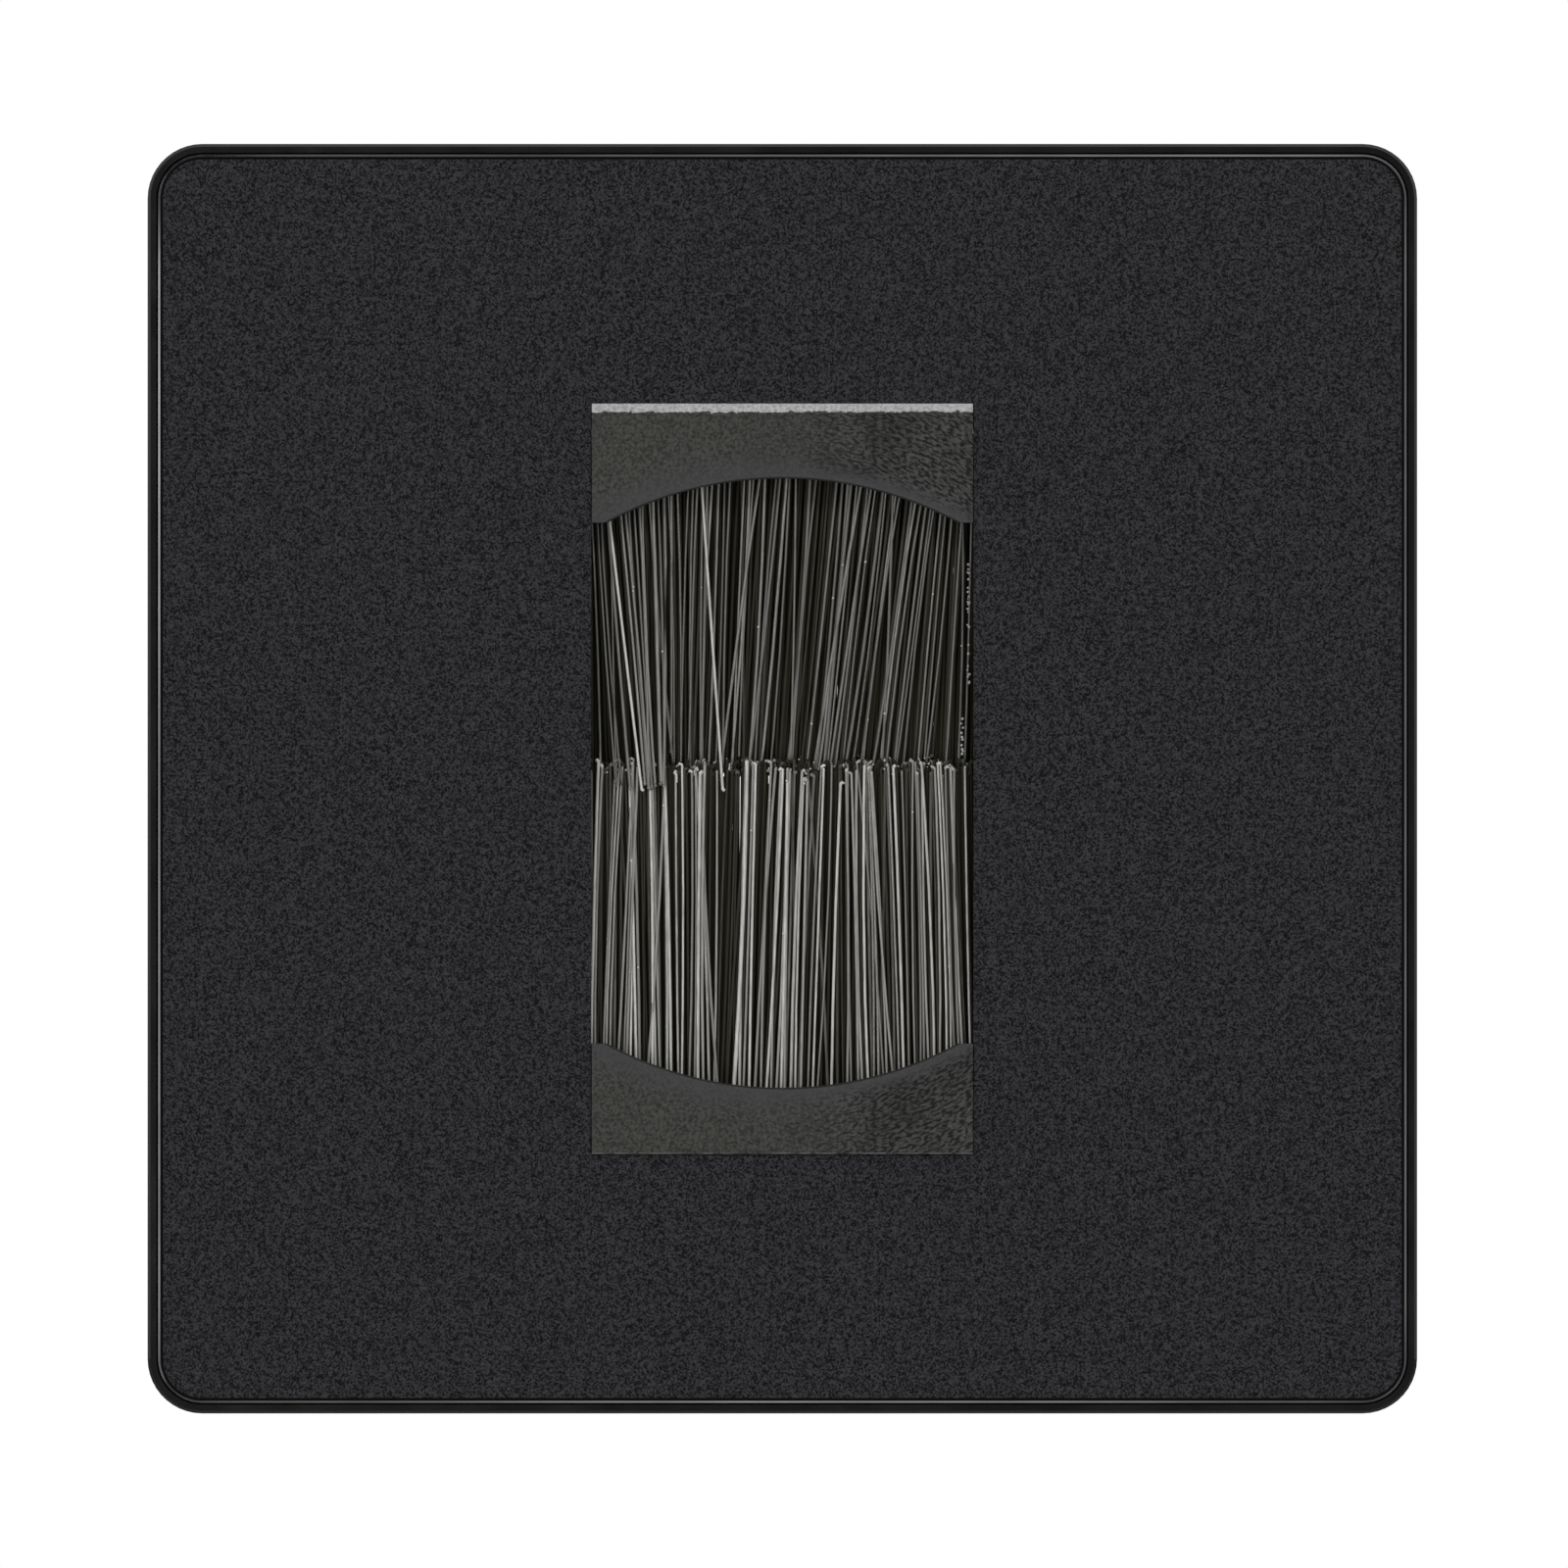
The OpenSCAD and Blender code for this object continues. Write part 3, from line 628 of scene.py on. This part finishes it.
def filament_centres(root, tip, length, bow, hook):
    """Ring centres of half a folded filament: over the core wire, down the run, round the hook."""
    centres = []
    for angle in CORE_TURNS:
        turn = math.radians(angle)
        height = CORE_UP + abs(root[1]) * math.sin(turn)
        centres.append(Vector((root[0], root[1] * math.cos(turn), height)))
    centres.append(Vector((root[0], root[1], 0)))
    for share in (*RUN_SHARES, 1 - BEFORE_CUT / length, 1):
        belly = 4 * share * (1 - share)
        centres.append(Vector((root[0] + (tip[0] - root[0]) * share + bow[0] * belly,
                               root[1] + (tip[1] - root[1]) * share + bow[1] * belly, -length * share)))
    end = centres[-1]
    centres.append(end + Vector((hook[0] * HOOK_SHARE, hook[1] * HOOK_SHARE, -HOOK_DROP)))
    centres.append(end + Vector((hook[0], hook[1], -END_DROP + END_RISE * hook[2])))
    return centres


def add_filament(shape, pattern, centres, radius, fibre, finish, burred, values):
    """Lays one copy of the pattern along its ring centres and stores its tone, paleness and gloss."""
    tone, paleness, gloss = values
    end_shares = BURRED_END if burred else PLAIN_END
    radii = [radius] * (RINGS - TIP_RINGS) + [radius * share for share in end_shares]
    first, first_face = len(shape.verts), len(shape.faces)
    shape.from_mesh(pattern)
    shape.verts.ensure_lookup_table()
    shape.faces.ensure_lookup_table()
    for face in shape.faces[first_face:]:
        face.material_index = finish
    for vertex in shape.verts[first:]:
        ring = round(vertex.co.z)
        along = centres[min(ring + 1, RINGS - 1)] - centres[max(ring - 1, 0)]
        turn = Vector((0, 0, 1)).rotation_difference(along)
        across = Vector((vertex.co.x, vertex.co.y, 0)) * radii[ring]
        vertex.co = (centres[ring] + turn @ across) * MM
        vertex[fibre] = (tone, paleness if ring >= RINGS - TIP_RINGS else 0, gloss, 1)


def add_speck(shape, centre, size, fibre, paleness=0.95):
    """A tiny crumb of lint on a filament."""
    lump = bmesh.ops.create_icosphere(shape, subdivisions=1, radius=size * MM)
    bmesh.ops.translate(shape, verts=lump["verts"], vec=centre * MM)
    for vertex in lump["verts"]:
        vertex[fibre] = (0.5, paleness, 0, 1)


def lean_at(knots, x):
    """Lean in degrees at x, read from knots along the brush."""
    for (x0, a0), (x1, a1) in zip(knots, knots[1:]):
        if x <= x1:
            share = max(0.0, (x - x0) / (x1 - x0))
            return a0 + (a1 - a0) * share
    return knots[-1][1]


def clump_pull(clumps, from_end):
    """Which way the clumps next to a filament pull it, from -1 to 1."""
    knot = from_end / CLUMP_PITCH
    return clumps[int(knot)] * (1 - knot % 1) + clumps[int(knot) + 1] * (knot % 1)


def own_lean(draw, degrees, pull, rank):
    """Degrees that one filament leans, with its clump's pull, its own, and now and then far astray."""
    degrees = (degrees + CLUMP_LEAN * pull + draw.uniform(-OWN_LEAN, OWN_LEAN)) * LAYERS[rank].lean
    if rank in FRONT_RANKS and draw.random() < ASTRAY_SHARE:
        degrees += draw.choice((-1, 1)) * draw.uniform(*ASTRAY_LEAN)
    return degrees


def own_length(draw, mean, stray, pull):
    """Length of one filament, of which a few are cut short."""
    length = mean + draw.uniform(-1, 1) * stray + CLUMP_LENGTH * pull
    if draw.random() < SHORT_SHARE:
        length -= draw.uniform(*SHORT_BY)
    return length


def cut_end(draw, curled):
    """Hook of a cut end, sideways, in depth and upwards, and how pale the end is."""
    curl = draw.uniform(*CURLED_HOOK) if curled else draw.uniform(*PLAIN_HOOK)
    hook = (draw.choice((-1, 1)) * curl, draw.uniform(*HOOK_DEPTH), draw.uniform(*HOOK_LIFT))
    paleness = draw.uniform(0.1, 1) ** 1.5 if curled else draw.uniform(0, 0.2)
    return hook, paleness


def own_radius(draw, rank):
    """Radius of one filament: full in most rear layers, finer elsewhere, and now and then thick."""
    radius = FILAMENT_R * (FULL_RADIUS if rank in FULL_RANKS else draw.uniform(*OWN_RADIUS))
    if rank in FRONT_RANKS and draw.random() < THICK_SHARE:
        radius *= THICK_RADIUS
    return radius


def brush(name, channel, way, lean, lengths, side, seed, tones, front_zone=(0, 0), strays=(), specks=0,
          flecks=()):
    """All the filaments of one brush, folded over its core wire in the channel.

    Way is 1 for a brush that hangs and -1 for one that stands. Lengths are the mean and how far it strays,
    side is 1 for tips behind the middle and -1 for tips in front of it, and tones go from dark to pale. In
    the front zone the tips hang in front of the other brush. A stray has its root's X, its lean, length
    and tone, and flecks have their X, top, bottom and count.
    """
    low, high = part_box(channel)
    mouth = (low.z if way > 0 else high.z) / MM
    middle = (low.y + high.y) / 2 / MM
    half_run = (high.x - low.x) / 2 / MM - END_ROOM
    draw = random.Random(seed)
    pattern = filament_pattern()
    shape = bmesh.new()
    fibre = shape.verts.layers.float_color.new("fibre")
    front = []

    def lay(root, tip, length, bow, hook, radius, finish, burred, values):
        centres = filament_centres(root, tip, length, bow, hook)
        centres = [Vector((c.x, c.y + middle, mouth + way * c.z)) for c in centres]
        add_filament(shape, pattern, centres, radius, fibre, finish, burred, values)
        return centres

    for rank, layer in enumerate(LAYERS):
        clumps = [draw.uniform(-1, 1) for _ in range(CLUMPS)]
        fill = [draw.uniform(0, 1) for _ in range(GAPS)]
        depth_share = rank / LAST if side > 0 else 1 - rank / LAST
        for i in range(int(2 * half_run / layer.pitch) + 1):
            stray = draw.uniform(-ROOT_STRAY, ROOT_STRAY) * layer.lean
            x = -half_run + (i + layer.offset) * layer.pitch + stray
            if abs(x) > half_run:
                continue
            may_be_gap = rank in FRONT_RANKS and abs(x) < GAPS_WITHIN
            if may_be_gap and fill[int((x + half_run) / GAP_PITCH)] < GAP_SHARE:
                continue
            pull = clump_pull(clumps, x + half_run)
            degrees = own_lean(draw, lean_at(lean, x), pull, rank)
            length = own_length(draw, *lengths, pull)
            tip_x = x + length * math.tan(math.radians(degrees))
            tip_x = max(-half_run - TIP_PAST, min(half_run + TIP_PAST, tip_x))
            tip_y = side * TIP_NEAR + side * depth_share * TIP_SPREAD
            tip_y += draw.uniform(-TIP_STRAY, TIP_STRAY)
            in_front = rank == 0 and front_zone[0] < tip_x < front_zone[1]
            curled = draw.random() < CURLED_SHARE and not in_front
            hook, paleness = cut_end(draw, curled)
            if in_front:
                length = lengths[0] + FRONT_LONGER + draw.uniform(*FRONT_OWN)
                tip_y = FRONT_TIP_Y
            bow = (draw.uniform(-OWN_BOW[0], OWN_BOW[0]) * layer.lean ** 2,
                   draw.uniform(-OWN_BOW[1], OWN_BOW[1]) * layer.lean)
            radius = own_radius(draw, rank)
            # Powers over 1 make most filaments dark and dull
            tone = (tones[0] + (tones[1] - tones[0]) * draw.random() ** 2) * layer.tone
            gloss = (0.1 + 0.9 * draw.random() ** 1.3) * layer.gloss
            values = (tone, paleness * layer.tone, gloss)
            # Layers behind the front one take the dull copy of the finish as painted shade.
            finish = int(rank in SHADED_RANKS)
            centres = lay((x, layer.root_y), (tip_x, tip_y), length, bow, hook, radius, finish, curled,
                          values)
            if rank == 0:
                front.append((centres, radius))
            if rank in FRONT_RANKS and curled and draw.random() < CRUMB_SHARE:
                crumb = Vector([draw.uniform(-CRUMB_STRAY, CRUMB_STRAY) for _ in range(3)])
                size = draw.uniform(*CRUMB_SIZE)
                add_speck(shape, centres[-1] + crumb, size, fibre, draw.random() ** 1.5)
    for x, degrees, length, tone in strays:
        tip_x = x + length * math.tan(math.radians(degrees))
        lay((x, STRAY_ROOT_Y), (tip_x, STRAY_TIP_Y), length, (0, 0), STRAY_HOOK,
            STRAY_RADIUS * FILAMENT_R, 0, True, (tone, 1, 1))
    for centres, radius in draw.sample(front, specks):
        upper, lower = centres[3], centres[5]
        spot = upper + (lower - upper) * draw.uniform(0, 1)
        add_speck(shape, spot + Vector((0, -radius, 0)), draw.uniform(*SPECK_SIZE), fibre)
    for x, top, bottom, count in flecks:
        for _ in range(count):
            spot = Vector((x + draw.uniform(-FLECK_STRAY, FLECK_STRAY), middle + FLECK_Y,
                           draw.uniform(bottom, top)))
            add_speck(shape, spot, draw.uniform(*FLECK_SIZE), fibre, draw.uniform(*FLECK_PALENESS))
    # A brush that stands is a mirror image, with its faces inside out
    if way < 0:
        bmesh.ops.recalc_face_normals(shape, faces=shape.faces)
    # Smooth sides, with flat ends and flat crumbs
    for face in shape.faces:
        face.smooth = len(face.verts) == 4
    return piece(name, shape)


def piece(name, shape):
    """Makes a finished bmesh an object at the origin."""
    mesh = bpy.data.meshes.new(name)
    shape.to_mesh(mesh)
    shape.free()
    made = bpy.data.objects.new(name, mesh)
    bpy.context.scene.collection.objects.link(made)
    return made


def screw_body(shape, head_r, length, thread_from):
    """Turned outline of the screw, open at the top of its head."""
    outline = [(head_r - HEAD_FLAT_IN, 0), (head_r - HEAD_EDGE, HEAD_EDGE), (NECK_R, head_r - NECK_R),
               (NECK_R, thread_from), (THREAD_ROOT_R, thread_from + THREAD_CONE),
               (THREAD_ROOT_R, length - POINT_LENGTH), (POINT_R, length), (0, length)]
    corners = [shape.verts.new((radius, 0, depth)) for radius, depth in outline]
    edges = [shape.edges.new(pair) for pair in zip(corners, corners[1:])]
    bmesh.ops.spin(shape, geom=[*corners, *edges], cent=(0, 0, 0), axis=(0, 0, 1), angle=2 * math.pi,
                   steps=TURNED_STEPS, use_merge=True)
    bmesh.ops.remove_doubles(shape, verts=shape.verts, dist=WELD)


def cross_recess(shape):
    """Tapered cross-shaped pocket in the head, with the flat of the head filled in round it."""
    grid = bmesh.ops.create_grid(shape, x_segments=3, y_segments=3, size=1)["verts"]
    for vertex in grid:
        for axis in (0, 1):
            reach = CROSS_SPAN / 2 if abs(vertex.co[axis]) > 0.5 else CROSS_W / 2
            vertex.co[axis] = math.copysign(reach, vertex.co[axis])
    cells = [face for face in shape.faces if all(vertex in grid for vertex in face.verts)]
    outer = []
    for face in cells:
        centre = face.calc_center_median()
        if min(abs(centre.x), abs(centre.y)) > CROSS_W / 2:
            outer.append(face)
    arms = [face for face in cells if face not in outer]
    bmesh.ops.delete(shape, geom=outer, context="FACES")
    pushed = bmesh.ops.extrude_face_region(shape, geom=arms)["geom"]
    deep = [part for part in pushed if isinstance(part, bmesh.types.BMVert)]
    bmesh.ops.scale(shape, verts=deep, vec=(CROSS_TAPER, CROSS_TAPER, 1))
    bmesh.ops.translate(shape, verts=deep, vec=(0, 0, CROSS_DEPTH))
    bmesh.ops.delete(shape, geom=arms, context="FACES")
    rims = [edge for edge in shape.edges if edge.is_boundary]
    bmesh.ops.triangle_fill(shape, use_beauty=True, edges=rims, normal=(0, 0, -1))


def screw_thread(shape, length, thread_from):
    """Rolled thread round the shank, sunk a little into it and running out at both ends."""
    body = set(shape.verts)
    tooth = []
    for radius, height in zip((THREAD_SUNK_R, THREAD_R, THREAD_R, THREAD_SUNK_R), TOOTH_HEIGHTS):
        tooth.append(shape.verts.new((radius, 0, thread_from + height)))
    profile = shape.faces.new(tooth)
    turns = int((length - THREAD_FREE - thread_from) / THREAD_PITCH) - 1
    bmesh.ops.spin(shape, geom=[profile, *profile.edges, *tooth], cent=(0, 0, 0), axis=(0, 0, 1),
                   dvec=(0, 0, THREAD_PITCH / THREAD_STEPS), angle=turns * 2 * math.pi,
                   steps=turns * THREAD_STEPS)
    thread_to = thread_from + (turns + 1) * THREAD_PITCH
    for vertex in set(shape.verts) - body:
        from_end = min(vertex.co.z - thread_from, thread_to - vertex.co.z)
        height = max(0.0, min(1.0, from_end / THREAD_RUNOUT))
        radius = math.hypot(vertex.co.x, vertex.co.y)
        share = (THREAD_SUNK_R + (radius - THREAD_SUNK_R) * height) / radius
        vertex.co.x *= share
        vertex.co.y *= share


def fixing_screw(name, replaced, material):
    """Countersunk screw with a cross recess and a cut thread, in place of the plain one."""
    low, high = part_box(replaced)
    head_r = (high.x - low.x) / 2 / MM
    length = (high.y - low.y) / MM
    thread_from = THREAD_START - low.y / MM
    shape = bmesh.new()
    screw_body(shape, head_r, length, thread_from)
    cross_recess(shape)
    screw_thread(shape, length, thread_from)
    bmesh.ops.recalc_face_normals(shape, faces=shape.faces)
    for face in shape.faces:
        face.smooth = True
    for edge in shape.edges:
        edge.smooth = edge.calc_face_angle(0) < math.radians(SHARP_ANGLE)
    bmesh.ops.scale(shape, verts=shape.verts, vec=(MM, MM, MM))
    turn = Matrix.Rotation(-math.pi / 2, 3, "X")
    bmesh.ops.rotate(shape, verts=shape.verts, cent=(0, 0, 0), matrix=turn)
    place = ((low.x + high.x) / 2, low.y, (low.z + high.z) / 2)
    bmesh.ops.translate(shape, verts=shape.verts, vec=place)
    made = piece(name, shape)
    made.data.materials.append(material)
    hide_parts(replaced)
    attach(made, "root")


def dress(node_name, material):
    """Gives a CAD node its finish."""
    for material_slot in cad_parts[node_name].material_slots:
        material_slot.material = material


def area_light(name, place, size, power):
    """A rectangular lamp that points at the middle of the plate, and that the camera doesn't see."""
    lamp = bpy.data.lights.new(name, "AREA")
    lamp.shape = "RECTANGLE"
    lamp.size, lamp.size_y = size
    lamp.energy = power
    made = bpy.data.objects.new(name, lamp)
    made.location = place
    made.rotation_mode = "QUATERNION"
    made.rotation_quaternion = (Vector((0, 0, 0)) - Vector(place)).to_track_quat("-Z", "Y")
    made.visible_camera = False
    bpy.context.scene.collection.objects.link(made)


def camera():
    """Looks straight at the plate from the photograph's place."""
    data = bpy.data.cameras.new("camera")
    data.sensor_width = SENSOR
    data.lens = SENSOR * (CAMERA_DISTANCE - RIM_FRONT) / FRAME_WIDTH
    data.clip_start, data.clip_end = 0.05, 50
    made = bpy.data.objects.new("camera", data)
    made.location = (AIM_X * MM, -CAMERA_DISTANCE * MM, AIM_Z * MM)
    made.rotation_euler = (math.radians(90), 0, 0)
    bpy.context.scene.collection.objects.link(made)
    bpy.context.scene.camera = made


def seen_white(tree):
    """1 for camera, glossy and transmission rays, and 0 for the rest."""
    path = node(tree, "ShaderNodeLightPath")
    shown = combine(tree, "MAXIMUM", path.outputs["Is Camera Ray"], path.outputs["Is Glossy Ray"])
    return combine(tree, "MAXIMUM", shown, path.outputs["Is Transmission Ray"])


def sheet(name, half_side, place, upright):
    """A flat square of the studio, lying or standing."""
    shape = bmesh.new()
    bmesh.ops.create_grid(shape, x_segments=1, y_segments=1, size=half_side)
    if upright:
        turn = Matrix.Rotation(math.pi / 2, 3, "X")
        bmesh.ops.rotate(shape, verts=shape.verts, cent=(0, 0, 0), matrix=turn)
    bmesh.ops.translate(shape, verts=shape.verts, vec=place)
    return piece(name, shape)


def studio():
    """White surroundings, a pale floor, soft lamps, and a dark card behind the camera."""
    world = bpy.data.worlds.new("studio")
    bpy.context.scene.world = world
    world.use_nodes = True
    tree = world.node_tree
    background = tree.nodes["Background"]
    background.inputs["Color"].default_value = (1, 1, 1, 1)
    strength = spread(tree, seen_white(tree), 0, 1, WORLD_LIGHT, WORLD_SEEN)
    link(tree, strength, background.inputs["Strength"])

    floor = sheet("floor", FLOOR_HALF, (0, 0, FLOOR_Z), upright=False)
    material, tree, shader = named_material("floor_paper", (0.85, 0.85, 0.85), 0.9, specular=0.0)
    mottle = noise(tree, object_place(tree), scale=40, detail=2)
    paper = blend_colours(tree, mottle, (0.84, 0.84, 0.84), (0.86, 0.86, 0.86))
    link(tree, paper, shader.inputs["Base Color"])
    floor.data.materials.append(material)

    card = sheet("dark_card", CARD_HALF, CARD_PLACE, upright=True)
    card.data.materials.append(named_material("card_felt", (0.02, 0.02, 0.02), 0.9, specular=0.0)[0])
    card.visible_camera = False

    area_light("key_softbox", place=(0.1, -0.88, 0.66), size=(0.9, 0.22), power=5.2)
    area_light("left_softbox", place=(-0.42, -1.02, 0.08), size=(0.22, 0.9), power=3)
    area_light("right_softbox", place=(0.46, -1.0, 0.08), size=(0.22, 0.9), power=1.5)
    area_light("low_softbox", place=(0, -0.5, -0.28), size=(0.7, 0.2), power=0.5)


camera()
studio()

moulding = dark_moulding()
steel = plated_steel("zinc_steel", (0.55, 0.55, 0.56), roughness=0.35, marks_scale=(0.15, 1, 1))
screw = plated_steel("screw_steel", (0.6, 0.6, 0.6), roughness=0.28, marks_scale=(0.1, 1, 0.1))
dress("cover_plate", powder_coat())
dress("carrier_frame", gloss_rim())
dress("module_housing", module_moulding())
dress("fixing_yoke", moulding)
dress("brush_retainer", moulding)
dress("bond_film", adhesive_film())
for name in ("upper_channel", "lower_channel", "upper_core_wire", "lower_core_wire"):
    dress(name, steel)
for side in ("left", "right"):
    fixing_screw(side + "_threaded_screw", side + "_fixing_screw", screw)

# Lit and shaded copies of one nylon: the hanging brush takes a weaker copy as painted shade.
upper_shaded_finish = nylon_filament("nylon_filament_upper_shaded", specular=0.85, ior=1.65)
lower_finish = nylon_filament("nylon_filament", specular=1.0, ior=1.78)
# Dull copy of the nylon for the deeper layers: painted shade.
deep_shaded_finish = nylon_filament("nylon_filament_deep_shade", specular=0.08, ior=1.5)
# The hanging brush's darker tones are painted shade.
upper = brush("upper_filaments", "upper_channel", way=1, lean=UPPER_LEAN, lengths=(20.4, 0.4), side=1,
              seed=11, tones=(0.06, 0.3), front_zone=(-12.1, -7.6),
              strays=[(-5.57, 4, 21.8, 0.9), (-12.14, 6.8, 21.8, 1)], specks=14,
              flecks=[(12.62, 14.6, 6.5, 30), (12.2, 5.2, 1.6, 16)])
lower = brush("lower_filaments", "lower_channel", way=-1, lean=LOWER_LEAN, lengths=(22.45, 0.45),
              side=-1, seed=23, tones=(0.1, 1.0), specks=9)
for made, replaced, finish in ((upper, "upper_bristles", upper_shaded_finish),
                               (lower, "lower_bristles", lower_finish)):
    made.data.materials.append(finish)
    made.data.materials.append(deep_shaded_finish)
    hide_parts(replaced)
    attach(made, "root")

bpy.context.scene.view_settings.view_transform = "Standard"
